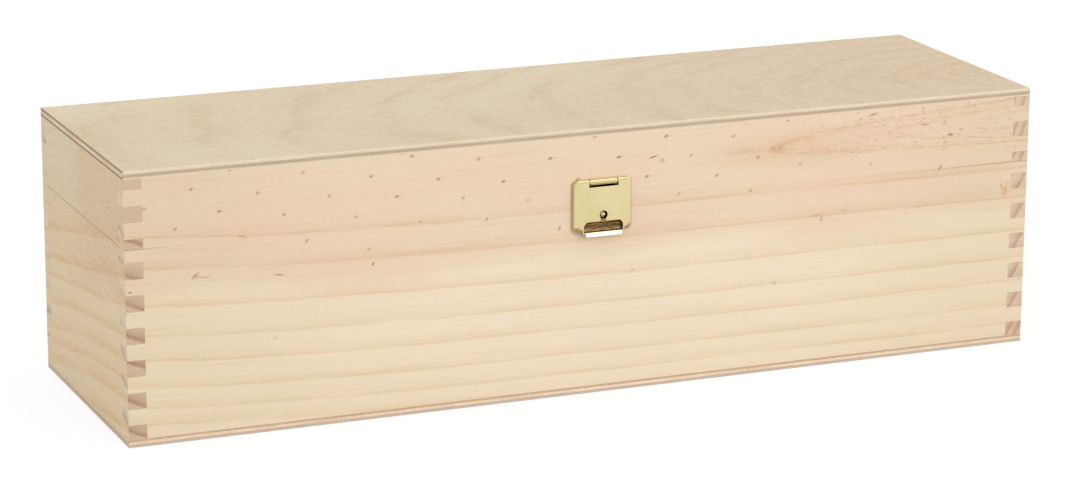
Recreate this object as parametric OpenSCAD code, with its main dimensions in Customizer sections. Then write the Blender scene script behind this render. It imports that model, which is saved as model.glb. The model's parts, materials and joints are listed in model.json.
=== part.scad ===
// Wooden wine box with a hinged lid, millimetres, +Z up.
// The origin is the middle of the underside. X runs along the box, and the front faces -Y.
// The box is glued up closed, with finger joints at an even pitch, and then sawn apart all round,
// so the fingers of the lid run on from those of the base less the width of the saw cut.

/* [Box] */
// Length over the two ends
box_l = 364; // [300:1:460]
// Depth from front to back
box_w = 107; // [90:1:140]
// Height of the closed box
box_h = 102; // [96:0.5:130]
// Height at which the lid parts from the base
part_z = 73.2; // [66:0.1:75]
// Thickness of the solid wood boards
board_t = 7; // [6.5:0.5:9]
// Radius of the sanded outer edges
arris_r = 0.6; // [0.2:0.1:1]

/* [Finger joints] */
// Height of one finger, and of the gap after it
finger_h = 6; // [5:0.5:8]
// Height of the lowest finger's underside, which the base panel partly hides
finger_z = 2.4; // [2:0.1:2.9]
// Width of the saw cut that parted the lid from the base
saw_cut = 3.3; // [2:0.1:4]

/* [Plywood panels] */
// Thickness of each face veneer
veneer_t = 0.75; // [0.5:0.05:0.9]
// Thickness of the core veneer
core_t = 1.5; // [1:0.1:2]

/* [Clasp] */
// Distance of the clasp to the right of the middle
clasp_x = 1.2; // [-20:0.2:20]
// Height of the clasp's pin above the parting line
pin_up = 8.6; // [8.6:0.1:9.6]
// Width of the flap
flap_w = 23.6; // [22.4:0.4:30]
// Thickness of the pressed brass sheet
sheet = 0.45; // [0.35:0.05:0.5]
// Radius of the clasp's pin
clasp_pin_r = 0.7; // [0.6:0.05:0.75]
// Length of the knuckle that shows in the flap's notch
clasp_knuckle_l = 10.8; // [8:0.2:12]
// Radius of the round hole that the keeper's nose snaps into
snap_hole_r = 1.6; // [1.55:0.05:1.8]

/* [Hinges] */
// Distance of each hinge's middle from the end of the box
hinge_inset = 62; // [40:1:90]
// Length of a hinge
hinge_l = 25; // [20:1:32]
// Height of one leaf, from the pin's axis to its edge
leaf_h = 10; // [8:0.5:12]
// Thickness of the leaves
leaf_t = 0.8; // [0.6:0.1:0.9]
// Radius of a hinge's pin
hinge_pin_r = 0.75; // [0.6:0.05:0.8]

/* [Hidden] */
$fn = 48;

pine = "#E8D3B6";
pine_end = "#D9C3A2";
birch = "#DACBAF";
birch_core = "#B99B74";
brass = "#E5D5A0";
over = 1;                                // how far a cutting shape runs past a face
panel_t = 2 * veneer_t + core_t;
wall_top = box_h - panel_t;
running_gap = 0.05;                      // radial clearance of a knuckle that turns on its pin
side_gap = 0.2;                          // clearance between the ends of two knuckles

// Clasp, measured outwards from the wood and upwards from the clasp's pin
clasp_knuckle_r = clasp_pin_r + running_gap + sheet;
clasp_pin_out = 1.5;
clasp_pin_l = flap_w - 2.4;              // the ends of the pin are closed in by the flap's corners
flap_out = clasp_pin_out + clasp_knuckle_r;
flap_lift = 0.3;                         // gap between the flap's skirt and the wood
flap_h = 19.4;                           // from the pin's axis down to the lower edge
flap_corner_r = 2.6;
shoulder = [[2.1, 0], [1.35, 0.1], [0.72, 0.4], [0.27, 0.85], [0, 1.6]];   // inset, and depth below the face
notch_w = clasp_knuckle_l + 1;
notch_gap = 0.4;                         // slot between the lid plate's knuckle and the flap
snap_z = -12.35;
channel_r = 1.6;                         // channel from the round hole down to the scoop
channel_depth = 0.5;
scoop_w = 15.8;
scoop_r = 4.4;                           // the hollow for the thumb slopes in from the face
scoop_depth = 1.4;
scoop_rise = 3.35;                       // from its deepest line up to its upper edge
scoop_z = -18;                           // height of its deepest line
heel_r = 0.8;                            // below that it turns out again to the lip
scoop_corner_r = 2.2;
lip_w = 14.6;
lip_l = 1.7;
lip_slope = 45;
lip_corner_r = 0.8;
plate_w = 18;
plate_low = -7.4;
plate_high = -3.1;                       // below the flap's turning knuckles
keeper_w = 16;
keeper_low = -17.6;
keeper_high = -pin_up - 0.7;
nose_r = 1.4;
nose_reach = 2.6;                        // the nose stands 0.35 into the flap's hole
plate_corner_r = 1.2;

// Nails
nail_r = 0.6;
nail_l = 5.5;
nail_tip_l = 1.2;
nail_head_r = 1.2;
nail_head_h = 0.45;
lid_nails_at = [for (side = [-1, 1]) [side * 6.6, -5.2]];
keeper_nails_at = [for (side = [-1, 1]) [side * 5.2, snap_z]];
leaf_nails_at = [for (side = [-1, 1]) side * hinge_l * 0.32];
leaf_nail_z = leaf_h * 0.56;

// Hinges, measured outwards from the wood and upwards from the parting line
hinge_knuckle_r = hinge_pin_r + running_gap + leaf_t;
lid_knuckle_l = hinge_l * 0.4;
hinge_xs = [-1, 1] * (box_l / 2 - hinge_inset);
leaf_corner_r = 1;

// ---- Shapes that repeat ----

module rounded_rect(l, w, r) {
    square([l, w - 2 * r], center = true);
    square([l - 2 * r, w], center = true);
    for (sx = [-1, 1], sy = [-1, 1])
        translate([sx * (l / 2 - r), sy * (w / 2 - r)]) circle(r);
}

// A flat shape pulled along X: its own x runs to +Y and its own y upwards
module along_x(l) rotate([90, 0, 90]) linear_extrude(l, center = true) children();

// A flat shape pulled along Y, between two distances in front of the XZ plane
module outwards(from, to) rotate([90, 0, 0]) translate([0, 0, from]) linear_extrude(to - from) children();

module rod_x(r, l) rotate([0, 90, 0]) cylinder(r = r, h = l, center = true);

// The closed box as one block with its edges sanded round
module sanded_block() intersection() {
    linear_extrude(box_h) rounded_rect(box_l, box_w, arris_r);
    translate([0, 0, box_h / 2]) along_x(box_l) rounded_rect(box_w, box_h, arris_r);
    translate([0, box_w / 2, box_h / 2]) outwards(0, box_w) rounded_rect(box_l, box_h, arris_r);
}

module layer(low, high) intersection() {
    sanded_block();
    translate([0, 0, (low + high) / 2]) cube([box_l + over, box_w + over, high - low], center = true);
}

// A nail driven along +Y, with the underside of its domed head at the origin
module nail() {
    head_curve = (pow(nail_head_r, 2) + pow(nail_head_h, 2)) / (2 * nail_head_h);
    rotate([-90, 0, 0]) {
        cylinder(r = nail_r, h = nail_l - nail_tip_l);
        translate([0, 0, nail_l - nail_tip_l]) cylinder(r1 = nail_r, r2 = 0.05, h = nail_tip_l);
        intersection() {
            translate([0, 0, head_curve - nail_head_h]) sphere(head_curve);
            translate([0, 0, -nail_head_h]) cylinder(r = nail_head_r, h = nail_head_h);
        }
    }
}

module nail_hole() rotate([-90, 0, 0]) translate([0, 0, -over]) cylinder(r = nail_r, h = nail_l + over);

// ---- Wooden walls ----

// Heights of the end boards' fingers between two levels, after any saw cut below them
function fingers(low, high, cut) = [
    for (z = [finger_z - cut : 2 * finger_h : high])
        if (z + finger_h > low && z < high) [max(z, low), min(z + finger_h, high)]
];

// The end boards' fingers at all four corners, made larger by grow on their outer sides
module corner_fingers(low, high, cut, grow = 0)
    for (f = fingers(low, high, cut), sx = [-1, 1], sy = [-1, 1])
        translate([sx * (box_l - board_t + grow) / 2, sy * (box_w - board_t + grow) / 2, (f[0] + f[1]) / 2])
            cube([board_t + grow, board_t + grow, f[1] - f[0]], center = true);

// A long board, front (-1) or back (1), notched for the end boards' fingers
module long_board(side, low, high, cut) intersection() {
    sanded_block();
    difference() {
        translate([-box_l / 2, side * (box_w - board_t) / 2 - board_t / 2, low])
            cube([box_l, board_t, high - low]);
        corner_fingers(low, high, cut, grow = over);
    }
}

// An end board, left (-1) or right (1), with its fingers
module end_board(side, low, high, cut) intersection() {
    sanded_block();
    translate([side * (box_l - board_t) / 2, 0, 0]) union() {
        translate([0, 0, (low + high) / 2])
            cube([board_t, box_w - 2 * board_t, high - low], center = true);
        translate([-side * (box_l - board_t) / 2, 0, 0]) intersection() {
            corner_fingers(low, high, cut);
            translate([side * box_l / 2, 0, 0]) cube([2 * board_t, box_w, 2 * box_h], center = true);
        }
    }
}

module base_front_wall() color(pine) difference() {
    long_board(-1, panel_t, part_z, 0);
    at_clasp() for (p = keeper_nails_at) translate([p[0], 0, p[1]]) nail_hole();
}

module base_back_wall() color(pine) difference() {
    long_board(1, panel_t, part_z, 0);
    at_hinges() leaf_nail_places(-1) nail_hole();
}

module base_left_end() color(pine_end) end_board(-1, panel_t, part_z, 0);

module base_right_end() color(pine_end) end_board(1, panel_t, part_z, 0);

module lid_front_rail() color(pine) difference() {
    long_board(-1, part_z, wall_top, saw_cut);
    at_clasp() for (p = lid_nails_at) translate([p[0], 0, p[1]]) nail_hole();
}

module lid_back_rail() color(pine) difference() {
    long_board(1, part_z, wall_top, saw_cut);
    at_hinges() leaf_nail_places(1) nail_hole();
}

module lid_left_rail() color(pine_end) end_board(-1, part_z, wall_top, saw_cut);

module lid_right_rail() color(pine_end) end_board(1, part_z, wall_top, saw_cut);

// ---- Plywood panels, each of three veneers ----

module base_panel_outer_veneer() color(birch) layer(0, veneer_t);

module base_panel_core() color(birch_core) layer(veneer_t, veneer_t + core_t);

module base_panel_inner_veneer() color(birch) layer(veneer_t + core_t, panel_t);

module lid_panel_inner_veneer() color(birch) layer(wall_top, wall_top + veneer_t);

module lid_panel_core() color(birch_core) layer(wall_top + veneer_t, box_h - veneer_t);

module lid_panel_outer_veneer() color(birch) layer(box_h - veneer_t, box_h);

// ---- Clasp ----

// From the middle of the clasp's pin, on the face of the wood
module at_clasp() translate([clasp_x, -box_w / 2, part_z + pin_up]) children();

module at_clasp_pin() translate([0, -clasp_pin_out, 0]) children();

// A flat nailed plate, rounded at its corners
module nailed_plate(w, low, high, nails) difference() {
    outwards(0, sheet) translate([0, (low + high) / 2]) rounded_rect(w, high - low, plate_corner_r);
    for (p = nails) translate([p[0], 0, p[1]]) nail_hole();
}

// The strip that steps out from the lid plate to the back of its knuckle
module plate_step() along_x(clasp_knuckle_l) {
    back = clasp_knuckle_r - clasp_pin_out;
    polygon([
        [0, plate_high - plate_corner_r], [0, plate_high], [back, -clasp_knuckle_r], [back, 0],
        [back - sheet, 0], [back - sheet, -clasp_knuckle_r - sheet / 2],
        [-sheet, plate_high - sheet / 2], [-sheet, plate_high - plate_corner_r]
    ]);
}

// The plate on the lid, with the knuckle that is rolled round the pin
module clasp_lid_plate() color(brass) at_clasp() difference() {
    union() {
        nailed_plate(plate_w, plate_low, plate_high, lid_nails_at);
        plate_step();
        at_clasp_pin() rod_x(clasp_knuckle_r, clasp_knuckle_l);
    }
    at_clasp_pin() rod_x(clasp_pin_r, box_w);
}

module clasp_pin() color(brass) at_clasp() at_clasp_pin() rod_x(clasp_pin_r, clasp_pin_l);

// The pressed flap's block: a plate with a soft shoulder all round, moved in by inset
module flap_block(inset, back) hull()
    for (step = shoulder)
        outwards(back, flap_out - inset - step[1])
            translate([0, (flap_corner_r - flap_h) / 2])
                rounded_rect(flap_w - 2 * (inset + step[0]),
                             flap_h + flap_corner_r - 2 * (inset + step[0]),
                             flap_corner_r - inset - step[0] / 2);

// The flap's outline from the front, moved in by inset
module flap_outline(inset) outwards(-over, 2 * flap_out)
    translate([0, (clasp_knuckle_r - flap_h) / 2])
        rounded_rect(flap_w - 2 * inset, flap_h + clasp_knuckle_r - 2 * inset, flap_corner_r - inset);

// What lies below the pin's axis, together with the knuckle above it
module below_pin() {
    translate([0, 0, -flap_h]) cube([2 * flap_w, 4 * flap_out, 2 * flap_h], center = true);
    at_clasp_pin() rod_x(clasp_knuckle_r, flap_w);
}

// The hollow for the thumb, as seen from the front, made larger by grow: an arch that is open below
module scoop_outline(grow) translate([0, scoop_z - scoop_r])
    rounded_rect(scoop_w + 2 * grow, 2 * (scoop_r + scoop_rise + grow), scoop_corner_r + grow);

// The air in the hollow, and in front of it
module scoop_barrel(grow) intersection() {
    union() {
        intersection() {
            translate([0, scoop_depth - flap_out - scoop_r, scoop_z]) rod_x(scoop_r + grow, 2 * flap_w);
            translate([0, 0, scoop_z + flap_h]) cube([3 * flap_w, 6 * flap_out, 2 * flap_h], center = true);
        }
        translate([0, scoop_depth - flap_out - heel_r, scoop_z]) rod_x(heel_r + grow, 2 * flap_w);
        translate([-flap_w, -3 * flap_out, scoop_z - heel_r - grow])
            cube([2 * flap_w, 2 * flap_out + scoop_depth - heel_r, heel_r + 2 * grow]);
    }
    outwards(0, 3 * flap_out) scoop_outline(grow);
}

// The channel down from the round hole, made larger by grow
module snap_channel(grow) intersection() {
    translate([0, channel_depth - flap_out - channel_r, snap_z]) rotate([180, 0, 0])
        cylinder(r = channel_r + grow, h = snap_z - scoop_z);
    outwards(0, flap_out + over) translate([0, scoop_z]) square(2 * (snap_z - scoop_z), center = true);
}

// The lip that is bent down from the hollow's lower edge
module lip() translate([0, -flap_out, scoop_z - heel_r]) intersection() {
    along_x(lip_w) rotate(lip_slope) translate([-lip_l, -sheet]) square([lip_l, sheet]);
    translate([0, 0, -flap_h]) linear_extrude(2 * flap_h)
        rounded_rect(lip_w, 2 * lip_l * cos(lip_slope), lip_corner_r);
}

// The flap before it is pressed: a shallow tray, closed at the top by its turning knuckles
module flap_tray() difference() {
    intersection() {
        flap_block(0, flap_lift);
        flap_outline(0);
        below_pin();
    }
    difference() {
        intersection() {
            flap_block(sheet, -over);
            flap_outline(sheet);
        }
        at_clasp_pin() rod_x(clasp_knuckle_r, 2 * flap_w);
        snap_channel(sheet);
    }
    // Below the lip the rim is open, because the lip is pressed out of it
    outwards(-over, 2 * flap_out) translate([-lip_w / 2, -flap_h - over]) square([lip_w, flap_h + over + scoop_z]);
}

module clasp_flap() color(brass) at_clasp() {
    difference() {
        union() {
            flap_tray();
            intersection() {
                scoop_barrel(sheet);
                translate([0, -flap_out / 2, -flap_h]) cube([flap_w, flap_out, 2 * flap_h], center = true);
            }
        }
        scoop_barrel(0);
        snap_channel(0);
        at_clasp_pin() rod_x(clasp_pin_r + running_gap, clasp_pin_l + 2 * running_gap);
        outwards(-over, 2 * flap_out)
            translate([-notch_w / 2, -clasp_knuckle_r - notch_gap]) square([notch_w, flap_h]);
        translate([0, 0, snap_z]) rotate([90, 0, 0]) cylinder(r = snap_hole_r, h = 2 * flap_out);
    }
    lip();
}

// The plate on the base, with the nose that snaps into the flap's hole
module clasp_keeper() color(brass) at_clasp() union() {
    nailed_plate(keeper_w, keeper_low, keeper_high, keeper_nails_at);
    translate([0, 0, snap_z]) {
        rotate([90, 0, 0]) cylinder(r = nose_r, h = nose_reach - nose_r);
        intersection() {
            translate([0, nose_r - nose_reach, 0]) sphere(nose_r);
            outwards(0, nose_reach) square(3 * nose_r, center = true);
        }
    }
}

module clasp_lid_nails() color(brass) at_clasp()
    for (p = lid_nails_at) translate([p[0], -sheet, p[1]]) nail();

module clasp_keeper_nails() color(brass) at_clasp()
    for (p = keeper_nails_at) translate([p[0], -sheet, p[1]]) nail();

// ---- Hinges ----

// From the middle of each hinge's axis, turned so that its outside faces -Y
module at_hinge(x) translate([x, box_w / 2, part_z]) rotate(180) children();

module at_hinges() for (x = hinge_xs) at_hinge(x) children();

module leaf_nail_places(up) for (x = leaf_nails_at) translate([x, 0, up * leaf_nail_z]) children();

module at_hinge_axis() translate([0, -hinge_knuckle_r, 0]) children();

// A leaf below (-1) or above (1) the axis, cut back where the other leaf's knuckles turn
module leaf_sheet(up, own) {
    reach = hinge_knuckle_r + side_gap;
    difference() {
        outwards(0, leaf_t) union() {
            translate([0, up * (leaf_h + reach) / 2]) rounded_rect(hinge_l, leaf_h - reach, leaf_corner_r);
            for (k = own) translate([k[0] - k[1] / 2, min(0, up * (reach + leaf_corner_r))])
                square([k[1], reach + leaf_corner_r]);
        }
        leaf_nail_places(up) nail_hole();
    }
    for (k = own) translate([k[0], 0, 0]) at_hinge_axis() rod_x(hinge_knuckle_r, k[1]);
}

base_knuckle_l = (hinge_l - lid_knuckle_l) / 2 - side_gap;
base_knuckles = [for (side = [-1, 1]) [side * (hinge_l - base_knuckle_l) / 2, base_knuckle_l]];
lid_knuckles = [[0, lid_knuckle_l]];

module base_leaf() difference() {
    leaf_sheet(-1, base_knuckles);
    at_hinge_axis() rod_x(hinge_pin_r, 2 * hinge_l);
}

module lid_leaf() difference() {
    leaf_sheet(1, lid_knuckles);
    at_hinge_axis() rod_x(hinge_pin_r + running_gap, 2 * hinge_l);
}

module hinge_pin() at_hinge_axis() rod_x(hinge_pin_r, hinge_l);

module left_hinge_base_leaf() color(brass) at_hinge(hinge_xs[0]) base_leaf();

module left_hinge_lid_leaf() color(brass) at_hinge(hinge_xs[0]) lid_leaf();

module left_hinge_pin() color(brass) at_hinge(hinge_xs[0]) hinge_pin();

module right_hinge_base_leaf() color(brass) at_hinge(hinge_xs[1]) base_leaf();

module right_hinge_lid_leaf() color(brass) at_hinge(hinge_xs[1]) lid_leaf();

module right_hinge_pin() color(brass) at_hinge(hinge_xs[1]) hinge_pin();

module hinge_base_nails() color(brass) at_hinges() leaf_nail_places(-1) translate([0, -leaf_t, 0]) nail();

module hinge_lid_nails() color(brass) at_hinges() leaf_nail_places(1) translate([0, -leaf_t, 0]) nail();

base_front_wall();
base_back_wall();
base_left_end();
base_right_end();
base_panel_inner_veneer();
base_panel_core();
base_panel_outer_veneer();
lid_front_rail();
lid_back_rail();
lid_left_rail();
lid_right_rail();
lid_panel_inner_veneer();
lid_panel_core();
lid_panel_outer_veneer();
clasp_lid_plate();
clasp_lid_nails();
clasp_pin();
clasp_flap();
clasp_keeper();
clasp_keeper_nails();
left_hinge_base_leaf();
left_hinge_lid_leaf();
left_hinge_pin();
right_hinge_base_leaf();
right_hinge_lid_leaf();
right_hinge_pin();
hinge_base_nails();
hinge_lid_nails();
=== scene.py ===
"""The looks of a wooden wine box: finger-jointed pine boards, plywood top and bottom, brass fittings.

Lengths are in metres, as in the frame. Materials work in millimetres, because wood is measured so.
X runs along the box, the clasp faces -Y, and Z is up.
"""

import json
import math

import bpy
from mathutils import Matrix, Vector


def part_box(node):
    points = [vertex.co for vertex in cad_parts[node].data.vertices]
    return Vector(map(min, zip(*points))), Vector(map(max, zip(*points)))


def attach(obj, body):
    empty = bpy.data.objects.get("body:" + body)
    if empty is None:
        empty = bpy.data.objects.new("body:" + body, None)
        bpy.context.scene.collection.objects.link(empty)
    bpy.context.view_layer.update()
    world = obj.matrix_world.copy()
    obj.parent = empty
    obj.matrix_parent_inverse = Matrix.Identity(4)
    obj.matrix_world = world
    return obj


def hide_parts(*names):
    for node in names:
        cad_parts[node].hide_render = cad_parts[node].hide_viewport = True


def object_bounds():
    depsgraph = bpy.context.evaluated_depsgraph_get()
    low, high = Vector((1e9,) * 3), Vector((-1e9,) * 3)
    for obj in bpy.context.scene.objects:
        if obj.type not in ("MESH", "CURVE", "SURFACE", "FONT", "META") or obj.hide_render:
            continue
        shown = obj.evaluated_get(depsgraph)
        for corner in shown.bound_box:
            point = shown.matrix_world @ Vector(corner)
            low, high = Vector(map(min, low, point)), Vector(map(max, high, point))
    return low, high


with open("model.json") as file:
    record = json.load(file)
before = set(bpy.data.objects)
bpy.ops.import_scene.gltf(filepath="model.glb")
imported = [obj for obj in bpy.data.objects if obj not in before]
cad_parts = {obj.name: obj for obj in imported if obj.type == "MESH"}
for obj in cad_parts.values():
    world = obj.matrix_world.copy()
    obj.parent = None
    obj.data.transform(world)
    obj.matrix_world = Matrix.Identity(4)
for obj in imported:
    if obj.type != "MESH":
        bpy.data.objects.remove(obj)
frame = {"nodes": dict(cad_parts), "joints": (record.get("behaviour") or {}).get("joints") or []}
cad_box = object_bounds()

MM = 0.001


def in_mm(metres):
    return round(metres / MM, 3)


JOINT_AT = {joint["name"]: joint["pos_m"] for joint in frame["joints"]}
HALF_L = in_mm(cad_box[1].x)                        # from the middle to either end of the box
HALF_W = in_mm(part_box("base_panel_core")[1].y)      # from the middle to the front or back
PARTING = in_mm(JOINT_AT["lid_hinge"][2])           # height at which the lid parts from the base
CLASP_X = in_mm(JOINT_AT["clasp_hinge"][0])         # the clasp sits this far right of the middle
CLASP_FACE = -(HALF_W + 2.7)                        # the flap's face stands 2.7 mm out of the wood
SKIN_RISE = 0.3                                     # over this depth an outermost face's own look sets in


# --- Shader nodes ---------------------------------------------------------------------------------

class Value:
    """An output socket that arithmetic can be done on. Each operation adds one Math node."""

    def __init__(self, nodes, socket):
        self.nodes = nodes
        self.socket = socket

    def out(self, name):
        """Another output of the same node."""
        return Value(self.nodes, self.socket.node.outputs[name])

    def __add__(self, other):
        return self.nodes.maths("ADD", self, other)

    def __sub__(self, other):
        return self.nodes.maths("SUBTRACT", self, other)

    def __mul__(self, other):
        return self.nodes.maths("MULTIPLY", self, other)

    def __radd__(self, other):
        return self.nodes.maths("ADD", other, self)

    def __rsub__(self, other):
        return self.nodes.maths("SUBTRACT", other, self)

    def __abs__(self):
        return self.nodes.maths("ABSOLUTE", self)


class Nodes:
    """A node tree, with short ways to add nodes to it."""

    MIX_FACTOR, MIX_FIRST, MIX_SECOND, MIX_RESULT = 0, 6, 7, 2      # a Mix node's sockets for colours

    def __init__(self, tree):
        self.tree = tree

    def node(self, kind, settings=None, inputs=None, output=0):
        """Adds a node: its settings first, then the values or links of its sockets."""
        added = self.tree.nodes.new(kind)
        for setting, value in (settings or {}).items():
            if setting == "stops":
                lay_stops(added.color_ramp, *value)
            else:
                setattr(added, setting, value)
        for socket, value in (inputs or {}).items():
            if isinstance(value, Value):
                self.join(value, added.inputs[socket])
            else:
                added.inputs[socket].default_value = value
        return Value(self, added.outputs[output])

    def join(self, value, socket):
        self.tree.links.new(value.socket, socket)

    def maths(self, operation, *values):
        return self.node("ShaderNodeMath", {"operation": operation}, dict(enumerate(values)))

    def larger(self, first, second):
        return self.maths("MAXIMUM", first, second)

    def point(self, x=0.0, y=0.0, z=0.0):
        return self.node("ShaderNodeCombineXYZ", inputs={"X": x, "Y": y, "Z": z})

    def length(self, vector):
        return self.node("ShaderNodeVectorMath", {"operation": "LENGTH"}, {"Vector": vector}, output="Value")

    def noise(self, place, detail, roughness, scale=1.0):
        """Noise from 0 to 1. The place is a link, or its three coordinates."""
        if isinstance(place, tuple):
            place = self.point(*place)
        return self.node("ShaderNodeTexNoise", {"noise_dimensions": "3D"}, {
            "Vector": place, "Scale": scale, "Detail": detail, "Roughness": roughness})

    def between(self, value, low, high):
        """0 below low, 1 above high, and a smooth rise between them."""
        return self.node("ShaderNodeMapRange", {"interpolation_type": "SMOOTHSTEP"}, {
            "Value": value, "From Min": low, "From Max": high, "To Min": 0.0, "To Max": 1.0})

    def line(self, distance, width):
        """1 on the line and 0 from width away."""
        return 1.0 - self.between(abs(distance), 0.0, width)

    def ramp(self, value, stops, blend="LINEAR"):
        """Greys along a value: stops are (place, grey), with places in the value's own unit."""
        low = stops[0][0]
        span = stops[-1][0] - low
        greys = [((at - low) / span, grey) for at, grey in stops]
        factor = (value - low) * (1.0 / span)
        return self.node("ShaderNodeValToRGB", {"stops": (greys, blend)}, {"Fac": factor})

    def tint(self, factor, colour, other, blend="MIX"):
        """Mixes two colours. A colour is a tone such as "#E8D3B6", or a link."""
        sockets = {self.MIX_FACTOR: factor, self.MIX_FIRST: colour, self.MIX_SECOND: other}
        sockets = {at: tone(v) if isinstance(v, str) else v for at, v in sockets.items()}
        settings = {"data_type": "RGBA", "blend_type": blend}
        return self.node("ShaderNodeMix", settings, sockets, output=self.MIX_RESULT)


class Finish(Nodes):
    """One material. Its place, x, y and z are those of the object, in millimetres."""

    def __init__(self, name, shininess):
        self.material = bpy.data.materials.new(name)
        self.material.use_nodes = True
        super().__init__(self.material.node_tree)
        self.shader = self.tree.nodes["Principled BSDF"]
        self.shader.inputs["Specular IOR Level"].default_value = shininess
        metres = self.node("ShaderNodeTexCoord", output="Object")
        self.place = self.node("ShaderNodeVectorMath", {"operation": "SCALE"}, {
            "Vector": metres, "Scale": 1 / MM})
        self.x = self.node("ShaderNodeSeparateXYZ", inputs={"Vector": self.place})
        self.y = self.x.out("Y")
        self.z = self.x.out("Z")

    def outermost(self, value, half, depth):
        """1 on the faces that are half away from the middle of the box, and 0 from depth inside them."""
        return self.between(abs(value), half - depth, half - depth + SKIN_RISE)

    def complete(self, colour, roughness, height, depth):
        """Joins colour, roughness and a relief of that depth in millimetres to the shader."""
        relief = self.node("ShaderNodeBump", inputs={
            "Height": height, "Distance": depth * MM, "Strength": 1.0})
        for name, value in (("Base Color", colour), ("Roughness", roughness), ("Normal", relief)):
            self.join(value, self.shader.inputs[name])
        return self.material


def tone(code):
    """A colour written as "#RRGGBB", as the linear numbers that a shader takes."""
    parts = [int(code[at:at + 2], 16) / 255 for at in (1, 3, 5)]
    return [p / 12.92 if p <= 0.04045 else ((p + 0.055) / 1.055) ** 2.4 for p in parts] + [1.0]


def lay_stops(ramp, stops, blend):
    ramp.interpolation = blend
    while len(ramp.elements) < len(stops):
        ramp.elements.new(1.0)
    for element, (at, grey) in zip(ramp.elements, stops):
        element.position = at
        element.color = (grey, grey, grey, 1.0)


# --- Pine -----------------------------------------------------------------------------------------

LATE_WOOD = "#F6ECDD"
PALE_FIBRE = "#F6E8CF"
PORE_BROWN = "#8E5A26"
KNOT_AMBER = "#C98F5C"
FIGURE_AMBER = "#D9AC80"
RAY_PALE = "#EAD6BC"
# Painted shade, multiplied in towards the ends of the front
END_SHADE_TONE = "#F7F6F1"
# Painted shade in the parting line
SEAM_SHADE_TONE = "#A27F4E"
HIGH_PALE = "#E8DCC0"
HIGH_AMBER = "#E3C6A0"

SKIN = 0.35             # what shows on an outermost face starts this far inside it
WANDER = 2.2            # how far the rings stray over the length of a board
RIPPLE = 1.1            # and over a few centimetres
STEEPER = (60.0, 84.0)          # the heights between which the rings' lean changes
END_TONES = (64.0, 84.0)        # and those between which the end boards' tones do
END_SHADE_ALONG = (55.0, 195.0)      # painted shade sets in between these distances from the middle
END_SHADE_BELOW = (50.0, 68.0)       # and goes away between these heights

# Rows of resin flecks, as (along, up)
FLECK_START = (-160.4, 91.6)
FLECK_STEP = (10.25, -8.71)         # from one fleck to the next
FLECK_ROW = (17.02, 5.92)           # from one row to the next
FLECK_JITTER = 0.12                 # how far a fleck may stray, as a share of a step
FLECK_SLANT = math.radians(24)
FLECK_HALF_SIZE = (0.95, 0.68)
FLECKS_FROM = 75.5                  # the height that they start above
FLECKS_END = 64.0                   # and how far right they go

# Pointed arches of grain: where each tip is along the board, and how dark its arch is
ARCH_TIPS = [(70.0, 1.0), (120.0, 0.8), (156.0, 0.6)]
ARCH_HEIGHT = 87.0                  # of their middle line, at the first tip
ARCH_RISE = 3.0                     # how far that line rises to the right
ARCH_REACH = 40.0                   # and over what length it does most of that
ARCH_SPREAD = 0.72                  # how fast they open
FIGURE_OVAL = ((84.0, 87.6), (44.0, 8.5), 2)        # the warm wood round them, written as a mark

FRONT_MARKS = [
    # place along and up, half length and height, turn, strength
    ((-156.0, 61.3), (1.9, 0.9), 38, 0.55),
    ((-153.0, 60.6), (3.6, 0.35), -4, 0.4),
    ((-124.6, 58.6), (2.6, 0.5), -6, 0.55),
    ((-88.7, 59.0), (0.9, 0.55), 60, 0.8),
    ((-138.0, 74.1), (2.2, 0.4), -12, 0.5),
    ((22.3, 88.9), (2.1, 0.42), 12, 0.8),
    ((26.0, 87.2), (1.2, 1.1), 20, 0.35),
    ((32.9, 73.7), (1.3, 0.5), 50, 0.45),
    ((14.3, 46.2), (0.8, 0.6), 60, 0.35),
    ((113.8, 97.2), (2.5, 0.6), 14, 0.55),
    ((136.2, 91.4), (2.4, 0.5), -4, 0.55),
    ((147.5, 86.5), (1.5, 0.75), -6, 0.7),
    ((145.2, 83.8), (1.1, 0.6), 20, 0.3),
    ((102.0, 60.8), (2.2, 0.3), 4, 0.4),
    ((-114.0, 70.1), (1.2, 0.7), 50, 0.5),
    ((-90.3, 64.7), (0.9, 0.7), 30, 0.45),
    ((-70.3, 73.0), (0.9, 0.6), 10, 0.45),
    ((-44.4, 71.3), (1.1, 0.5), 50, 0.55),
    ((-15.4, 65.2), (1.3, 0.6), 64, 0.6),
    ((62.6, 72.2), (0.9, 0.7), 60, 0.55),
    ((77.8, 98.0), (0.9, 0.5), 0, 0.5),
    ((108.6, 95.9), (0.9, 0.5), 10, 0.5),
    ((83.3, 80.9), (1.1, 0.5), 30, 0.45),
    ((113.2, 78.0), (1.0, 0.5), 55, 0.5),
    ((143.5, 73.8), (1.5, 0.6), 50, 0.65),
    ((152.0, 88.4), (0.8, 0.4), 0, 0.4),
    ((-180.2, 57.8), (0.8, 0.6), 0, 0.6),
    ((-126.4, 35.0), (1.2, 0.9), 0, 0.2),
    ((73.3, 35.0), (1.5, 1.0), 0, 0.2),
]
FRONT_KNOTS = [
    # small orange knots, written as the marks are
    ((92.8, 58.2), (0.9, 1.9), 0, 0.6),
    ((90.6, 59.8), (2.8, 0.7), 8, 0.55),
    ((172.4, 62.3), (1.7, 3.6), -14, 0.65),
    ((170.9, 63.6), (0.7, 2.2), 20, 0.6),
    ((73.5, 87.5), (5.0, 1.5), 6, 0.6),
    ((60.0, 87.6), (9.0, 1.3), 2, 0.3),
]


def fibres(wood, along, across, through, seed):
    """Fine lines that run with the grain, about 0 on average."""
    return wood.noise((along * 0.016 + seed, across * 1.1, through * 1.1), 5.0, 0.65) - 0.5


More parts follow.
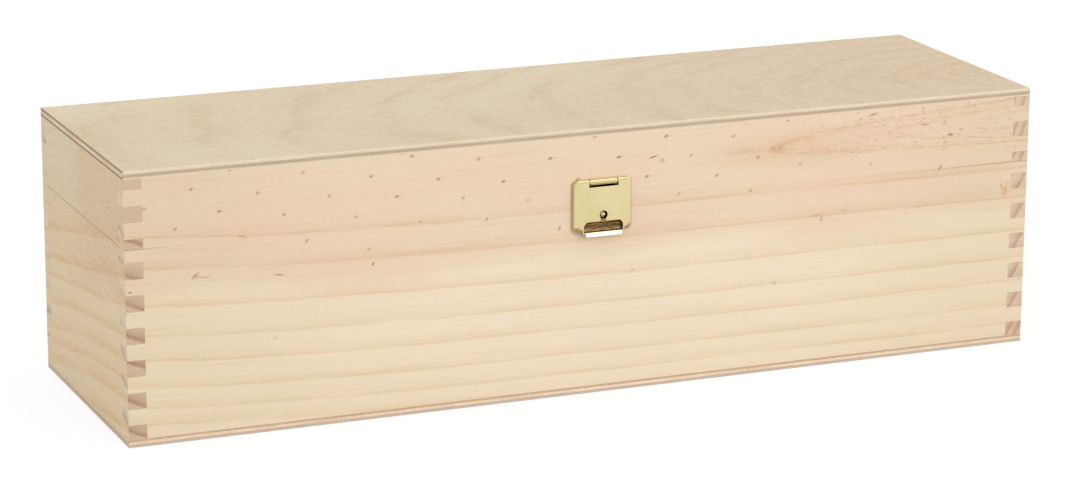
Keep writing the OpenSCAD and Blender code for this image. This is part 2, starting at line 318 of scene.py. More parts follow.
def fading(wood, along, start, reach):
    """1 at start, fading to the right: reach is how far it goes until about a third is left."""
    return wood.maths("EXPONENT", (along - start) * (-1 / reach))


def front_sweep(wood, along, across):
    """The rings of the front drop from its left end and then run level."""
    return fading(wood, along, -170.0, 75.0) * 6.2


def back_sweep(wood, along, across):
    """The rings of the back do so more slowly."""
    return fading(wood, along, -182.0, 120.0) * 9.0


def left_sweep(wood, along, across):
    """The rings of the left end drop towards the back: low ones in a curve, high ones evenly."""
    back = (along - HALF_W) * -0.01
    high = wood.between(across, 30.0, 56.0)
    return (back * (high * 17.0 + 3.0) + back * back * (10.5 - high * 10.5)) * -1.0


def right_sweep(wood, along, across):
    """The rings of the right end climb from its front and then run more level."""
    return fading(wood, along, 20.0, 60.0) * -6.0


class Pine(Finish):
    """A pine board, whose fibres run along grain_axis, "X" or "Y".

    outward is 1 where the outer face is on the plus side of the box, and -1 where it is on the other.
    On that face, rings are the heights of the late wood, and sweep says how far it lies above those
    heights along the board. It rises by lean for each millimetre into the board, and higher up by the
    share steepen more. It is darkest at its height, and fades above it over line and haze, and below
    it within edge. spring is the tone between the rings, which turns rosy above rosy_from: that border
    takes the share follow of the sweep. blush holds the rosy, the patchy and the warm tone, and
    cut_tones those of the end grain. coarse makes the mottle larger and stronger, and flecks is the
    strength of the resin flecks."""

    def __init__(self, name, grain_axis, outward, seed, rings, sweep, lean, spring, blush, cut_tones,
                 rosy_from=52.0, follow=1.0, steepen=0.0, line=1.5, haze=5.5, edge=0.5, coarse=1.0,
                 flecks=0.0):
        super().__init__(name, shininess=0.22)
        self.seed, self.rings, self.lean = seed, rings, lean
        self.spring, self.blush, self.cut_tones = spring, blush, cut_tones
        self.rosy_from, self.coarse, self.flecks = rosy_from, coarse, flecks
        self.short = grain_axis == "Y"      # the two ends of the box
        self.across = self.z
        if self.short:
            self.along = self.y * outward
            self.through = HALF_L - self.x * outward
            self.end_grain = self.outermost(self.y, HALF_W, SKIN)
            self.warmer = self.between(self.along, -20.0, 6.0)
        else:
            self.along = self.x
            self.through = HALF_W - self.y * outward
            self.end_grain = self.outermost(self.x, HALF_L, SKIN)
            self.warmer = self.between(abs(self.x), 90.0, 178.0)
        lift = sweep(self, self.along, self.across)
        self.wander = self.cloud(0.011, 0.03, 0.03, 2.0, 0.5)
        self.ripple = self.cloud(0.07, 0.12, 0.1, 2.0, 0.5)
        slope = self.between(self.across, *STEEPER) * (lean * steepen) + lean
        straight = self.across - lift - self.through * slope
        self.height = straight + self.wander * WANDER + self.ripple * RIPPLE
        self.level = self.across - lift * follow + self.wander * WANDER
        self.strength = self.noise((self.along * 0.018 + seed, self.across * 0.2, seed), 3.0, 0.6)
        self.grain = fibres(self, self.along, self.across, self.through, seed)
        self.lines = self.late_wood(line, haze, edge)

    def cloud(self, along, across, through, detail, roughness):
        """Noise about 0, whose frequencies along, across and through the board are given."""
        place = (self.along * along + self.seed, self.across * across, self.through * through)
        return self.noise(place, detail, roughness) - 0.5

    def growth_rings(self, line, haze, edge):
        """How dark the late wood is at a height, from how far above one ring and below the next it is."""
        rings = self.rings
        count = len(rings) - 1
        gaps = [upper - lower for lower, upper in zip(rings, rings[1:])]
        widest = max(gaps)
        number = self.ramp(self.height, [(at, index / count) for index, at in enumerate(rings)]) * count
        steps = [(at, gap / widest) for at, gap in zip(rings, gaps)] + [(rings[-1], 1.0)]
        gap = self.ramp(self.height, steps, "CONSTANT") * widest
        above = self.maths("FRACT", number) * gap
        below = gap - above
        fading_up = self.line(above, line) * 0.5 + self.line(above, haze) * 0.5
        return self.larger(fading_up, self.line(below, edge))

    def late_wood(self, line, haze, edge):
        """The rings, which come and go along the board, with fainter streaks among them."""
        streaks = self.noise((self.along * 0.009 + self.seed, self.height * 0.8, self.seed), 4.0, 0.65) - 0.5
        rings = self.growth_rings(line, haze, edge) * self.between(self.strength, 0.12, 0.7) * 1.05
        return rings + self.between(streaks, 0.0, 0.3) * 0.5

    def mark(self, at, size, turn):
        """1 in the middle of an oval mark and 0 at its edge."""
        inside = self.node("ShaderNodeMapping", {"vector_type": "TEXTURE"}, {
            "Vector": self.point(self.along, self.across), "Location": (at[0], at[1], 0.0),
            "Rotation": (0.0, 0.0, math.radians(turn)), "Scale": (size[0], size[1], 1.0)})
        return 1.0 - self.between(self.length(inside), 0.1, 1.25)

    def all_marks(self, table):
        """The strongest of a table's marks at each place."""
        strongest = None
        for at, size, turn, dark in table:
            spot = self.mark(at, size, turn) * dark
            strongest = spot if strongest is None else self.larger(strongest, spot)
        return strongest

    def resin_flecks(self):
        """Small brown flecks in slanting rows, as where resin canals come to the surface."""
        step, row = FLECK_STEP, FLECK_ROW
        # The place, counted in steps and rows, which bend a little along the board
        cell = step[0] * row[1] - step[1] * row[0]
        bend_right = abs(self.along + 30.0) * 0.045 - 3.0
        bend_up = abs(self.along + 40.0) * 0.025 - 1.0
        right = self.along - (FLECK_START[0] + self.seed) - bend_right
        up = self.across - FLECK_START[1] - bend_up
        steps = (right * row[1] - up * row[0]) * (1 / cell) + FLECK_JITTER / 2
        rows = (up * step[0] - right * step[1]) * (1 / cell) + FLECK_JITTER / 2
        # How far off the nearest fleck is, in millimetres
        nearest = self.node("ShaderNodeTexVoronoi", {"voronoi_dimensions": "2D"}, {
            "Vector": self.point(steps, rows), "Scale": 1.0, "Randomness": FLECK_JITTER}, output="Position")
        spot = self.node("ShaderNodeSeparateXYZ", inputs={"Vector": nearest})
        off_steps = steps - spot
        off_rows = rows - spot.out("Y")
        dx = off_steps * step[0] + off_rows * row[0]
        dy = off_steps * step[1] + off_rows * row[1]
        # The fleck is a slanting oval with a faint tail to its right, and some are darker than others
        cos, sin = math.cos(FLECK_SLANT), math.sin(FLECK_SLANT)
        long_way = (dx * cos + dy * sin) * (1 / FLECK_HALF_SIZE[0])
        short_way = (dy * cos - dx * sin) * (1 / FLECK_HALF_SIZE[1])
        fleck = 1.0 - self.between(long_way * long_way + short_way * short_way, 0.0, 1.5)
        tail = 1.0 - self.between(abs(dy + dx * 0.03), 0.08, 0.4)
        tail = tail * (1.0 - self.between(abs(dx - 1.4), 0.8, 3.2))
        luck = self.node("ShaderNodeTexWhiteNoise", {"noise_dimensions": "2D"}, {"Vector": nearest}, "Value")
        there = self.between(self.across, FLECKS_FROM, FLECKS_FROM + 3.0)
        there = there * (1.0 - self.between(self.along, FLECKS_END, FLECKS_END + 6.0))
        return (fleck * (0.6 + luck * 0.4) + tail * self.between(luck, 0.5, 0.9) * 0.25) * there

    def ground(self, shaded_ends):
        """The tone between the rings: pale below, rosy above, and warmer in part, with painted shade towards
        the ends of the board if asked.
        """
        patch = self.noise((self.along * 0.013 + self.seed, self.across * 0.045, self.seed), 2.0, 0.5)
        ragged = self.level + self.wander * 8.0 + self.grain * 14.0
        rosy, patchy, warm = self.blush
        colour = self.tint(self.between(ragged, self.rosy_from, self.rosy_from + 9.0), self.spring, rosy)
        patches = self.between(patch, 0.38, 0.68) * self.between(self.level, 40.0, 62.0)
        colour = self.tint(patches, colour, patchy)
        colour = self.tint(self.between(patch, 0.3, 0.75) * 0.2, colour, rosy)
        colour = self.tint(self.warmer * self.between(self.level, 50.0, 66.0) * 0.5, colour, warm)
        # Painted shade: the board grows darker towards both ends below the rosy wood, as less light falls
        # there
        if shaded_ends:
            end_shade = self.between(abs(self.along), *END_SHADE_ALONG) * (1.0 - self.between(self.across, *END_SHADE_BELOW))
            colour = self.tint(end_shade, colour, END_SHADE_TONE, "MULTIPLY")
        if self.short:
            high = self.between(self.across, *END_TONES)
            colour = self.tint((1.0 - self.warmer) * high * 0.55, colour, HIGH_PALE)
            colour = self.tint(self.warmer * high * 0.35, colour, HIGH_AMBER)
        return colour

    def arch_lines(self, across, middle):
        """Pointed arches of grain that open to the right of each tip."""
        lines = None
        for at, strength in ARCH_TIPS:
            opening = self.maths("SQRT", self.larger((self.along - at) * ARCH_SPREAD, 0.0))
            off = abs(across - middle) - opening
            edge = self.line(off, 0.75) * 0.75 + self.line(off + 0.9, 1.9) * 0.4
            arch = edge * strength * self.between(self.along, at - 6.0, at + 5.0)
            lines = arch if lines is None else self.larger(lines, arch)
        return lines

    def figure(self, colour):
        """Warmer wood and broken arches, which join the lines. Small curls come back beside the colour."""
        warm = self.mark(*FIGURE_OVAL)
        colour = self.tint(warm * (self.ripple * 0.8 + 0.34), colour, FIGURE_AMBER)
        middle = (1.0 - fading(self, self.along, ARCH_TIPS[0][0], ARCH_REACH)) * ARCH_RISE + ARCH_HEIGHT
        wavy = self.across + self.ripple * 1.6 + self.wander * 1.5
        broken = self.noise((self.along * 0.17, self.across * 0.8, self.seed + 2.0), 4.0, 0.7)
        arches = self.arch_lines(wavy, middle) * self.between(broken, 0.36, 0.6) * 1.3
        self.lines = self.larger(self.lines, arches)
        curl = self.noise((self.along * 0.3, wavy - abs(self.across - middle) * 0.3, 5.0), 2.0, 0.6)
        right = self.between(self.along, 78.0, 110.0) * self.between(self.across, 77.0, 82.0)
        return colour, self.between(curl, 0.6, 0.7) * right

    def lined(self, colour):
        """Late wood, fibres and mottle over the colour."""
        size = self.coarse ** -0.7
        mottle = self.cloud(0.4 * size, 1.5 * size, 1.5, 3.0, 0.65)
        colour = self.tint(self.lines, colour, LATE_WOOD, "MULTIPLY")
        colour = self.tint(self.between(self.grain, 0.02, 0.34) * 0.5, colour, LATE_WOOD, "MULTIPLY")
        colour = self.tint(self.between(self.grain * -1.0, 0.04, 0.3) * 0.3, colour, PALE_FIBRE)
        darker = self.between(mottle, 0.02, 0.28) * min(0.42 * self.coarse, 1.0)
        colour = self.tint(darker, colour, LATE_WOOD, "MULTIPLY")
        return self.tint(self.between(mottle * -1.0, 0.02, 0.28) * (0.22 * self.coarse), colour, PALE_FIBRE)

    def pores(self):
        """Short dark dashes in the grain."""
        dashes = self.noise((self.along * 0.16 + self.seed, self.across * 1.9, self.seed), 1.0, 0.5)
        upper = self.between(self.height, 46.0, 60.0)
        return self.between(dashes, 0.66, 0.78) * upper * (0.17 * self.coarse)

    def end_cut(self, speckle):
        """The end grain: rings end on, with rays and open pores."""
        early_cut, dull_cut, late_cut = self.cut_tones
        ray = self.noise((self.through * 0.35, self.height * 2.2, self.seed), 2.0, 0.6) - 0.5
        steep = abs(self.lean)
        rings = self.growth_rings(1.4 + steep, 4.5 + steep * 2.0, 0.7 + steep * 0.9)
        cut = self.tint(self.between(self.strength, 0.35, 0.7), early_cut, dull_cut)
        cut = self.tint(rings * (0.25 + self.strength), cut, late_cut)
        cut = self.tint(self.between(speckle, 0.0, 0.3) * 0.55, cut, late_cut)
        return self.tint(self.between(ray, 0.05, 0.4) * 0.25, cut, RAY_PALE)

    def shaded_seam(self, colour, without_shade):
        """Painted shade along the outer edge of the parting line, where the lid meets the base.

        clean is the stretch without it: where the painted shade ends on the left, and starts again on the
        right."""
        # Painted shade in the gap at the parting line, on the outer face only
        seam_shadow = self.line(self.z - PARTING, 0.3) * (1.0 - self.between(self.through, 0.1, 0.4)) * 0.7
        if without_shade:
            left, right = without_shade
            at_left = 1.0 - self.between(self.along, *left)
            seam_shadow = seam_shadow * self.larger(at_left, self.between(self.along, *right))
        return self.tint(seam_shadow, colour, SEAM_SHADE_TONE)

    def painted(self, marks=(), knots=(), figured=False, shaded_ends=False, unshaded_stretch=None):
        """Puts the layers together and returns the material."""
        colour = self.ground(shaded_ends)
        spots = self.pores()
        if figured:
            colour, curls = self.figure(colour)
            spots = self.larger(spots, curls * 0.36)
        colour = self.lined(colour)
        if self.flecks:
            spots = self.larger(spots, self.resin_flecks() * self.flecks)
        if marks:
            spots = self.larger(spots, self.all_marks(marks))
        if knots:
            stain = self.noise((self.along * 0.8, self.across * 0.6, self.seed + 8.0), 3.0, 0.7)
            colour = self.tint(self.all_marks(knots) * self.between(stain, 0.34, 0.56), colour, KNOT_AMBER)
        colour = self.tint(spots, colour, PORE_BROWN)
        speckle = self.noise((self.along * 1.4, self.across * 1.4, self.through * 1.4), 3.0, 0.7) - 0.5
        colour = self.tint(self.end_grain, colour, self.end_cut(speckle))
        colour = self.shaded_seam(colour, unshaded_stretch)
        roughness = 0.62 + self.grain * 0.25 - self.lines * 0.05 + self.end_grain * 0.16
        relief = self.grain * 0.9 + self.end_grain * speckle * 1.6
        return self.complete(colour, roughness, relief, depth=0.06)


# --- Plywood and brass ----------------------------------------------------------------------------

PLY_SKIN = 0.45         # the panels' edges are rounded, so their end grain starts deeper
VENEER_PALE = "#F1E2C6"
VENEER_FIBRE = "#CBB18D"
VENEER_FLECK = "#C4A883"
VENEER_ARC = "#C2A37B"
VENEER_ROSE = "#D3BA9C"
VENEER_SIDE = "#E6D4B9"
CORE_SIDE = ("#F5DFC6", "#DCB997")
BRASS = ("#D9CB9B", "#D4C592")
BRASS_SCUFF = "#EAE0B2"
# Painted dark reflection and shade in the clasp's hollow, in two browns
HOLLOW_SHADE_BROWN = ("#70573C", "#A88E66")
# The painted highlight of the clasp's lip
LIP_HIGHLIGHT_TONE = "#F4EFE4"
HOLLOW_SHADE_TOP = 69.9        # the hollow's painted shade reaches up the channel to this height
HOLLOW_SHADE_HALF = 8.3        # and this far to either side


def glue_line(ply, colour, glue):
    """A panel's dark line of glue, which shows in its front and back edges."""
    if glue is None:
        return colour
    height, solid, faded, code = glue
    uneven = ply.noise((ply.x * 0.035, 3.0, 7.0), 2.0, 0.6) * 0.7 + 0.6
    share = (1.0 - ply.between(abs(ply.z - height), solid, faded)) * uneven
    at_edge = ply.outermost(ply.y, HALF_W, PLY_SKIN)
    return ply.tint(at_edge * ply.maths("MINIMUM", share, 1.0), colour, code)


def veneer(name, grain_axis, seed, pale, dusky, figure, cut_tones, rosiness=0.0, glue=None):
    """Sanded birch veneer, with end grain at the ends of its fibres.

    figure gives its arcs of grain: their centre, how far they are stretched along the fibres, and how
    crowded they are."""
    ply = Finish(name, shininess=0.25)
    if grain_axis == "X":
        along, half_along, across, half_across = ply.x, HALF_L, ply.y, HALF_W
    else:
        along, half_along, across, half_across = ply.y, HALF_W, ply.x, HALF_L
    end_grain = ply.outermost(along, half_along, PLY_SKIN)
    side_grain = ply.outermost(across, half_across, SKIN)
    centre, stretch, crowding = figure
    warp = ply.noise((along * 0.011 + seed, across * 0.02, seed), 2.0, 0.55) - 0.5
    ripple = ply.noise((along * 0.06 + seed, across * 0.11, seed), 2.0, 0.5) - 0.5
    reach = ply.length(ply.point((along - centre[0]) * (1 / stretch), across - centre[1]))
    wavy = ply.larger(reach + warp * 36.0 + ripple * 3.0, 0.0)
    share = ply.maths("FRACT", ply.maths("SQRT", wavy) * crowding)
    arc = ply.ramp(share, [(0.0, 0.3), (0.35, 0.0), (0.6, 0.12), (0.86, 0.75), (0.93, 1.0), (1.0, 0.3)])
    presence = ply.noise((along * 0.02, across * 0.03, seed + 3.0), 2.0, 0.5)
    arc = arc * (ply.between(presence, 0.35, 0.65) * 0.75 + 0.25)
    rosy = ply.between(ply.x, 10.0, 150.0) * rosiness
    grain = fibres(ply, along, across, ply.z, seed)
    fleck = ply.noise((along * 0.28, across * 0.7, seed), 4.0, 0.75) - 0.5
    patch = ply.noise((along * 0.008 + seed, across * 0.016, seed), 1.0, 0.5)
    colour = ply.tint(ply.between(patch, 0.3, 0.7), pale, dusky)
    colour = ply.tint(rosy, colour, VENEER_ROSE)
    colour = ply.tint(arc * 0.44, colour, VENEER_ARC)
    colour = ply.tint(ply.between(grain, 0.0, 0.35) * 0.4, colour, VENEER_FIBRE)
    colour = ply.tint(ply.between(fleck, 0.0, 0.2) * 0.42, colour, VENEER_FLECK)
    colour = ply.tint(ply.between(fleck * -1.0, 0.0, 0.2) * 0.46, colour, VENEER_PALE)
    colour = ply.tint(side_grain, colour, VENEER_SIDE)
    colour = ply.tint(ply.between(grain * -1.0, 0.03, 0.3) * 0.25, colour, VENEER_PALE)
    speckle = ply.noise((ply.x * 1.6, ply.y * 1.6, ply.z * 2.2), 2.0, 0.7) - 0.5
    cut = ply.tint(ply.between(speckle, -0.2, 0.35), *cut_tones)
    colour = glue_line(ply, ply.tint(end_grain, colour, cut), glue)
    roughness = 0.56 + grain * 0.22 + fleck * 0.1 + end_grain * 0.2
    return ply.complete(colour, roughness, grain * 0.8 + fleck * 0.5 - arc * 0.2, depth=0.035)


def core(name, grain_axis, seed, cut_tones, glue):
    """A panel's middle ply, which is pale along its fibres and darker at their ends."""
    ply = Finish(name, shininess=0.2)
    along, half_along = (ply.x, HALF_L) if grain_axis == "X" else (ply.y, HALF_W)
    end_grain = ply.outermost(along, half_along, PLY_SKIN)
    wave = ply.noise((ply.x * 0.05 + seed, ply.y * 0.05, ply.z * 0.4), 3.0, 0.6) - 0.5
    speckle = ply.noise((ply.x * 0.9, ply.y * 0.9, ply.z * 3.0), 3.0, 0.7) - 0.5
    uneven = speckle + wave
    side = ply.tint(ply.between(uneven, -0.2, 0.4), *CORE_SIDE)
    cut = ply.tint(ply.between(uneven, -0.25, 0.3), *cut_tones)
    colour = glue_line(ply, ply.tint(end_grain, side, cut), glue)
    return ply.complete(colour, 0.74 + speckle * 0.2, speckle, depth=0.08)


def clasp_painted_light(brass, colour):
    """Painted dark reflection and shade brown the hollow of the clasp and the channel above it, and a painted
    highlight makes the lip pale.
    """
    right = brass.x - CLASP_X
    # The hollow and the channel, which lie behind the face, get painted shade and dark reflection in two
    # browns
    pressed = brass.between(brass.y, CLASP_FACE + 0.02, CLASP_FACE + 0.12)
    pressed = pressed * (1.0 - brass.between(brass.z, HOLLOW_SHADE_TOP - 0.3, HOLLOW_SHADE_TOP))
    pressed = pressed * (1.0 - brass.between(abs(right), HOLLOW_SHADE_HALF - 0.3, HOLLOW_SHADE_HALF))
    mottled_reflection = brass.noise((right * 0.28, brass.y * 0.9, brass.z * 0.9 + abs(right) * 0.25), 3.0, 0.6)
    brown = brass.tint(brass.between(mottled_reflection, 0.38, 0.66), *HOLLOW_SHADE_BROWN)
    colour = brass.tint(pressed * 0.95, colour, brown)
    # Painted highlight: the lip faces up, and is painted pale as the bright sky it reflects
    lip_highlight = 1.0 - brass.between(brass.y, CLASP_FACE - 0.45, CLASP_FACE - 0.12)
    return brass.tint(lip_highlight * 0.8, colour, LIP_HIGHLIGHT_TONE)


def polished_brass(name, painted_hollow=False):
    """Pressed brass, polished and lightly lacquered, with the fine lines of its rolling."""
    brass = Finish(name, shininess=0.5)
    brass.shader.inputs["Metallic"].default_value = 1.0
    rolling = brass.noise((brass.x * 0.9, brass.y * 9.0, brass.z * 9.0), 3.0, 0.6) - 0.5
    cloud = brass.noise(brass.place, 2.0, 0.5, scale=0.12) - 0.5
    scratch = brass.noise((brass.x * 7.0 + brass.z * 2.0, brass.y * 3.0, brass.z * 0.8), 2.0, 0.5)
    scuff = brass.between(scratch, 0.68, 0.76) * brass.between(cloud, 0.0, 0.2)
    colour = brass.tint(brass.between(cloud, -0.25, 0.3), *BRASS)
    colour = brass.tint(scuff * 0.3, colour, BRASS_SCUFF)
    # The clasp gets painted shade and dark reflection in its hollow, and a painted highlight on its lip
    if painted_hollow:
        colour = clasp_painted_light(brass, colour)
    roughness = 0.14 + cloud * 0.06 + rolling * 0.03 + scuff * 0.14
    return brass.complete(colour, roughness, rolling + scuff * 0.3, depth=0.002)


# --- The finishes of this box ---------------------------------------------------------------------

FRONT_RINGS = [-9.0, 1.5, 7.8, 15.4, 25.1, 34.4, 45.4, 59.0, 70.3, 140.0]
BACK_RINGS = [-8.0, 4.0, 13.0, 21.0, 33.0, 42.0, 55.0, 66.0, 79.0, 90.0, 130.0]
LEFT_RINGS = [-24.0, -14.0, -4.0, 6.5, 18.0, 25.0, 32.0, 41.7, 53.5, 64.0, 77.3, 140.0]
RIGHT_RINGS = [-22.0, -10.0, 0.0, 10.0, 21.5, 28.5, 35.3, 45.0, 57.0, 67.5, 80.0, 91.0, 103.0, 114.0,
               126.0, 140.0]
# Rosy, patchy and warm tones
FRONT_BLUSH = ("#EBD5B9", "#EDD0B7", "#DFC7AB")
BACK_BLUSH = ("#EBD2B7", "#EDD0B7", "#E3C9AA")
END_BLUSH = ("#EDD6B0", "#EBCFAB", "#EACDAB")
# Early, dull and late wood in the end grain
LONG_CUT = ("#EFDEC1", "#E4D1B2", "#C7A983")
LEFT_CUT = ("#D6BDA1", "#CCB398", "#AB8264")
RIGHT_CUT = ("#E0C7AC", "#D7BDA2", "#BC967F")
# Height, half of the solid width, half of the whole width, and tone
LID_GLUE = (100.12, 0.25, 0.95, "#C0A88F")
BASE_GLUE = (0.9, 0.12, 0.5, "#C7B49F")
# The seam's painted shade fades out between the first two places along the front, and in between the others
FRONT_UNSHADED_STRETCH = ((-181.0, -160.0), (116.0, 178.0))

finishes = {
    "front": Pine("pine_front", "X", -1, 0.0, FRONT_RINGS, front_sweep, 0.4, "#F2E1C6", FRONT_BLUSH, LONG_CUT,
                  follow=0.3, flecks=0.55).painted(
        FRONT_MARKS, FRONT_KNOTS, figured=True, shaded_ends=True, unshaded_stretch=FRONT_UNSHADED_STRETCH),
    "back": Pine("pine_back", "X", 1, 31.0, BACK_RINGS, back_sweep, 0.3, "#EFDCBF", BACK_BLUSH, LONG_CUT,
                 rosy_from=60.0, flecks=0.35).painted(),
    "left": Pine("pine_left", "Y", -1, 7.0, LEFT_RINGS, left_sweep, -0.43, "#F2DDBA", END_BLUSH, LEFT_CUT,
                 rosy_from=56.0, line=3.6, haze=9.0, edge=1.8, coarse=2.6).painted(),
    "right": Pine("pine_right", "Y", 1, 17.0, RIGHT_RINGS, right_sweep, -1.7, "#F0DBBA", END_BLUSH, RIGHT_CUT,
                  rosy_from=44.0, steepen=0.9, line=2.8, haze=7.5, edge=1.3, coarse=1.8).painted(),
    "lid_veneer": veneer("birch_along", "X", 4.0, "#DBCBAE", "#D7C3A6", ((200.0, -24.0), 2.1, 1.4),
                         ("#AE9478", "#997D60"), rosiness=0.6, glue=LID_GLUE),
    "base_inner": veneer("birch_inside", "Y", 9.0, "#E0D0B3", "#DCC9AB", ((-80.0, 60.0), 1.6, 1.2),
                         ("#D5B799", "#BC9A7B")),
    "base_outer": veneer("birch_below", "Y", 14.0, "#E0D0B3", "#DCC9AB", ((60.0, -40.0), 1.5, 1.25),
                         ("#E9D8C4", "#D4BDA4"), glue=BASE_GLUE),
    "lid_core": core("core_across", "Y", 3.0, ("#E9D6BF", "#DCC6AC"), LID_GLUE),
    "base_core": core("core_along", "X", 11.0, ("#E2C9AF", "#CFAF92"), BASE_GLUE),
    "brass": polished_brass("brass_polished"),
    # The flap, with painted shade in its hollow and a painted highlight on its lip
    "clasp": polished_brass("brass_with_painted_shade", painted_hollow=True),
}

BOARD_FINISH = {
    "base_front_wall": "front", "lid_front_rail": "front",
    "base_back_wall": "back", "lid_back_rail": "back",
    "base_left_end": "left", "lid_left_rail": "left",
    "base_right_end": "right", "lid_right_rail": "right",
}
PLY_FINISH = {
    "lid_panel_inner_veneer": "lid_veneer", "lid_panel_outer_veneer": "lid_veneer",
    "lid_panel_core": "lid_core",
    "base_panel_inner_veneer": "base_inner", "base_panel_outer_veneer": "base_outer",
    "base_panel_core": "base_core",
}


# --- Boards with eased edges ----------------------------------------------------------------------

JOINT_EASE = 0.07 * MM      # the finger joints are sanded flush, so their edges are nearly sharp
RIM_EASE = 0.1 * MM         # the edges along the saw cut have been sanded
PRESSED_EDGE = 0.07 * MM    # pressed sheet has narrow rounded edges, which catch the light
SAME_PLACE = 0.002 * MM     # corners this close together are one
RIM_SLACK = 0.01 * MM       # an edge this close to the parting is on it
FLAT = math.radians(0.5)            # triangles that meet within this angle are one face
SHARP = math.radians(40)            # edges sharper than this are eased on a board
SHARP_PRESSED = math.radians(35)    # and on pressed sheet


def copy_of(node, name):
    """A copy of a CAD node's mesh as a piece of its own, with its triangles joined into flat faces."""
    source = frame["nodes"][node]
    piece = source.copy()
    piece.data = source.data.copy()
    piece.name = name
    piece.data.name = name
    piece.parent = None
    piece.matrix_world = Matrix()
    bpy.context.collection.objects.link(piece)
    bpy.ops.object.select_all(action="DESELECT")
    piece.select_set(True)
    bpy.context.view_layer.objects.active = piece
    if piece.data.has_custom_normals:
        bpy.ops.mesh.customdata_custom_splitnormals_clear()
    bpy.ops.object.mode_set(mode="EDIT")
    bpy.ops.mesh.select_all(action="SELECT")
    bpy.ops.mesh.remove_doubles(threshold=SAME_PLACE)
    bpy.ops.mesh.dissolve_limited(angle_limit=FLAT)
    bpy.ops.object.mode_set(mode="OBJECT")
    return piece


def weigh_edges(piece):
    """Says how much of the bevel each sharp edge gets: all of it along the parting line."""
    weights = piece.data.attributes.new("bevel_weight_edge", "FLOAT", "EDGE")
    faces_at = {}
    for face in piece.data.polygons:
        for key in face.edge_keys:
            faces_at.setdefault(key, []).append(face)
    for edge in piece.data.edges:
        touching = faces_at.get(edge.key, [])
        if len(touching) != 2:
            continue
        if touching[0].normal.angle(touching[1].normal) < SHARP:
            continue
        on_rim = all(abs(piece.data.vertices[v].co.z - PARTING * MM) < RIM_SLACK for v in edge.vertices)
        weights.data[edge.index].value = 1.0 if on_rim else JOINT_EASE / RIM_EASE


def bevel_edges(piece, width, limit, clamp, smooth_below):
    """Rounds the edges that limit picks, keeps the faces between them flat, and applies it all."""
    bevel = piece.modifiers.new("Rounded edges", "BEVEL")
    bevel.limit_method = limit
    bevel.angle_limit = SHARP_PRESSED
    bevel.width = width
    bevel.segments = 2
    bevel.use_clamp_overlap = clamp
    shade = piece.modifiers.new("Even shading", "WEIGHTED_NORMAL")
    shade.keep_sharp = True
    bpy.ops.object.shade_smooth_by_angle(angle=math.radians(smooth_below))
    bpy.context.view_layer.objects.active = piece
    for modifier in list(piece.modifiers):
        bpy.ops.object.modifier_apply(modifier=modifier.name)


def only_finish(piece, finish):
    piece.data.materials.clear()
    piece.data.materials.append(finishes[finish])


for node, finish in BOARD_FINISH.items():
    board = copy_of(node, node + "_eased")
    weigh_edges(board)
    bevel_edges(board, RIM_EASE, "WEIGHT", clamp=False, smooth_below=35)
    only_finish(board, finish)
    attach(board, "lid" if node.startswith("lid") else "base")
    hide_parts(node)

flap = copy_of("clasp_flap", "clasp_flap_pressed")
bevel_edges(flap, PRESSED_EDGE, "ANGLE", clamp=True, smooth_below=40)
only_finish(flap, "clasp")
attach(flap, "flap")
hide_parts("clasp_flap")

for node, piece in frame["nodes"].items():
    if node in BOARD_FINISH or node == "clasp_flap":
        continue
    for material_slot in piece.material_slots:
        material_slot.material = finishes[PLY_FINISH.get(node, "brass")]


# --- Floor, light and camera ----------------------------------------------------------------------

WHITE = (1.0, 1.0, 1.0, 1.0)
FLOOR_SIZE = 8.0
FLOOR_GREY = (0.45, 0.45, 0.45, 1.0)        # the grey that lights the box from below
FLOOR_SEEN = (0.22, 0.22, 0.22, 1.0)        # the camera sees this over the glow, so the shadow stays light
FLOOR_GLOW = 0.81
FLOOR_MIRRORED = 0.7                        # the glow that polished metal sees
FLOOR_SHADED = (0.54, 0.45, 0.36, 1.0)      # and its colour close to the box
SHADED_REACH = (130.0, 300.0)               # which fades between these distances from the middle, in mm
WORLD_LIGHT = 0.85
LAMP_AIM = (0.0, 0.0, 0.05)
LAMPS = [
    # name, place, size, power
    ("key", (0.75, -2.4, 0.55), (1.6, 1.2), 26.0),
    ("left_fill", (-2.4, -0.3, 0.6), (1.2, 1.2), 6.0),
    ("back_fill", (0.9, 2.3, 0.9), (1.4, 1.2), 10.0),
]
CAMERA_PLACE = (-0.5418, -1.2898, 0.4229)
CAMERA_TURN = (74.882, -0.303, -22.724)     # degrees about X, Y and Z
CAMERA_LENS = 124.865


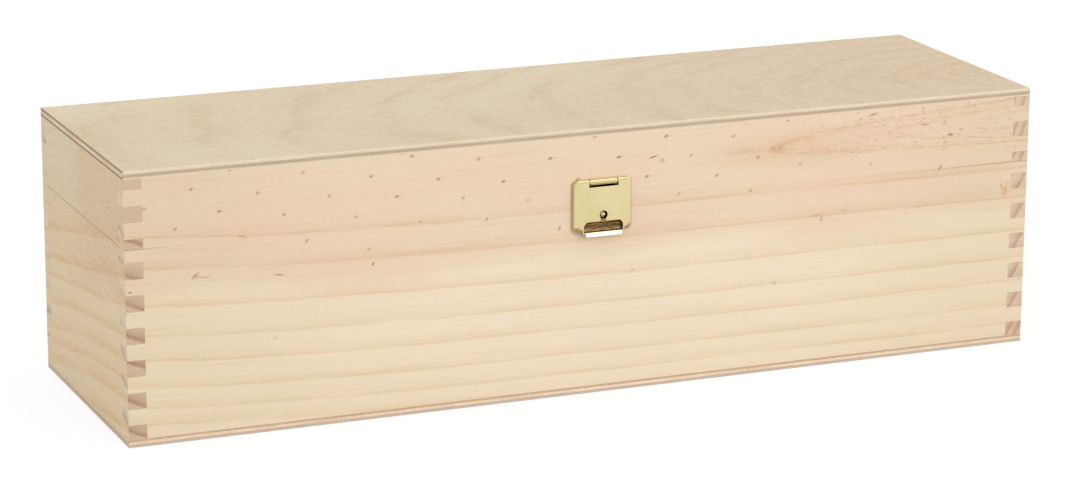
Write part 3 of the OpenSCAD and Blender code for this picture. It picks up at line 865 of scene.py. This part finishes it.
def add_floor():
    """White to the camera with a faint shadow, and grey where it lights the box."""
    bpy.ops.object.select_all(action="DESELECT")
    bpy.ops.mesh.primitive_plane_add(size=FLOOR_SIZE, location=(0.0, 0.0, 0.0))
    floor = bpy.context.object
    floor.name = "studio_floor"
    paint = Finish("studio_floor", shininess=0.0)
    paint.shader.inputs["Roughness"].default_value = 0.9
    paint.shader.inputs["Emission Color"].default_value = WHITE
    seen = paint.node("ShaderNodeLightPath", output="Is Camera Ray")
    mirrored = seen.out("Is Glossy Ray")
    paint.join(paint.tint(seen, FLOOR_GREY, FLOOR_SEEN), paint.shader.inputs["Base Color"])
    paint.join(seen * FLOOR_GLOW + mirrored * FLOOR_MIRRORED, paint.shader.inputs["Emission Strength"])
    # Polished metal sees the shaded floor close to the middle of the box
    near = 1.0 - paint.between(paint.length(paint.place), *SHADED_REACH)
    shaded = paint.node("ShaderNodeEmission", inputs={"Color": FLOOR_SHADED})
    plain = Value(paint, paint.shader.outputs["BSDF"])
    both = paint.node("ShaderNodeMixShader", inputs={0: near * mirrored, 1: plain, 2: shaded})
    paint.join(both, paint.tree.nodes["Material Output"].inputs["Surface"])
    floor.data.materials.append(paint.material)


def add_world():
    """White where it is seen, plain where it lights, and brighter above for metal to reflect."""
    world = bpy.context.scene.world or bpy.data.worlds.new("studio")
    bpy.context.scene.world = world
    world.use_nodes = True
    sky = Nodes(world.node_tree)
    background = sky.tree.nodes["Background"]
    background.inputs["Color"].default_value = WHITE
    camera_ray = sky.node("ShaderNodeLightPath", output="Is Camera Ray")
    glossy_ray = camera_ray.out("Is Glossy Ray")
    direction = sky.node("ShaderNodeTexCoord", output="Generated")
    up = sky.node("ShaderNodeSeparateXYZ", inputs={"Vector": direction}, output="Z")
    reflected = sky.between(up, -0.6, 0.2) * 0.45 + 0.55 + sky.between(up, 0.7, 0.95) * 1.4
    lit = (1.0 - glossy_ray) * WORLD_LIGHT + glossy_ray * reflected
    seen = sky.larger(camera_ray, camera_ray.out("Is Transmission Ray"))
    sky.join(sky.larger(seen, lit), background.inputs["Strength"])


def add_lamp(name, place, size, power):
    data = bpy.data.lights.new(name, "AREA")
    data.shape = "RECTANGLE"
    data.size, data.size_y = size
    data.energy = power
    lamp = bpy.data.objects.new(name, data)
    lamp.location = place
    lamp.visible_glossy = False
    lamp.rotation_euler = (Vector(LAMP_AIM) - Vector(place)).to_track_quat("-Z", "Y").to_euler()
    bpy.context.collection.objects.link(lamp)


def add_camera():
    data = bpy.data.cameras.new("camera")
    data.sensor_fit = "HORIZONTAL"
    data.sensor_width = 36.0
    data.lens = CAMERA_LENS
    data.clip_start = 0.02
    camera = bpy.data.objects.new("camera", data)
    camera.location = CAMERA_PLACE
    camera.rotation_euler = [math.radians(angle) for angle in CAMERA_TURN]
    bpy.context.collection.objects.link(camera)
    bpy.context.scene.camera = camera


add_floor()
add_world()
for lamp_settings in LAMPS:
    add_lamp(*lamp_settings)
add_camera()
bpy.context.scene.view_settings.view_transform = "Standard"
